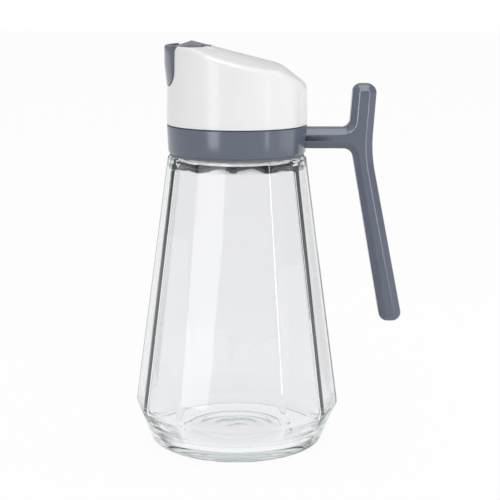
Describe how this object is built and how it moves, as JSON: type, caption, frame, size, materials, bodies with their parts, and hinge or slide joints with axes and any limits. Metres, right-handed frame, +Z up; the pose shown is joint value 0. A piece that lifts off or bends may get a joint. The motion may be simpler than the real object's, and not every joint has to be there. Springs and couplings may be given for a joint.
{
  "type": "syrup dispenser",
  "caption": "Faceted glass syrup dispenser with a pull-off pouring head, a gravity flap over the spout and a side handle that hangs free.",
  "frame": {"origin": "centre of the foot on the table, on the carafe's axis", "axes": "+Z up along the carafe's axis, +X towards the handle, the spout is at -X, +Y away from the picture's camera"},
  "size_m": [0.1367, 0.1044, 0.2037],
  "materials": {
    "glass": "clear moulded glass, fire polished",
    "grey_plastic": "satin gloss",
    "white_plastic": "gloss",
    "grey_silicone": "matte",
    "clear_silicone": "satin, translucent",
    "steel": "satin"
  },
  "bodies": {
    "bottle": {"carafe": "glass", "neck_gasket": "grey_silicone", "collar_ring": "grey_plastic", "lock_ring": "white_plastic", "handle": "grey_plastic", "handle_screws": "steel"},
    "head": {"head_shell": "white_plastic", "inner_lid": "white_plastic", "pour_spout": "white_plastic", "spout_gasket": "clear_silicone", "plug_seal": "clear_silicone", "vent_valve": "clear_silicone", "hinge_pin": "steel"},
    "flap": {"flap_lid": "grey_plastic", "flap_pad": "clear_silicone", "weight_arm_left": "white_plastic", "weight_arm_right": "white_plastic", "flap_weight_left": "steel", "flap_weight_right": "steel", "weight_cap_left": "grey_plastic", "weight_cap_right": "grey_plastic", "arm_screws": "steel"}
  },
  "joints": [
    {"name": "head_lift", "type": "slide", "parent": "bottle", "child": "head", "axis": [0, 0, 1], "range_m": [0, 0.06]},
    {"name": "flap_hinge", "type": "hinge", "parent": "head", "child": "flap", "pos_m": [-0.0146, 0, 0.20015], "axis": [0, 1, 0], "range_deg": [0, 65]}
  ]
}
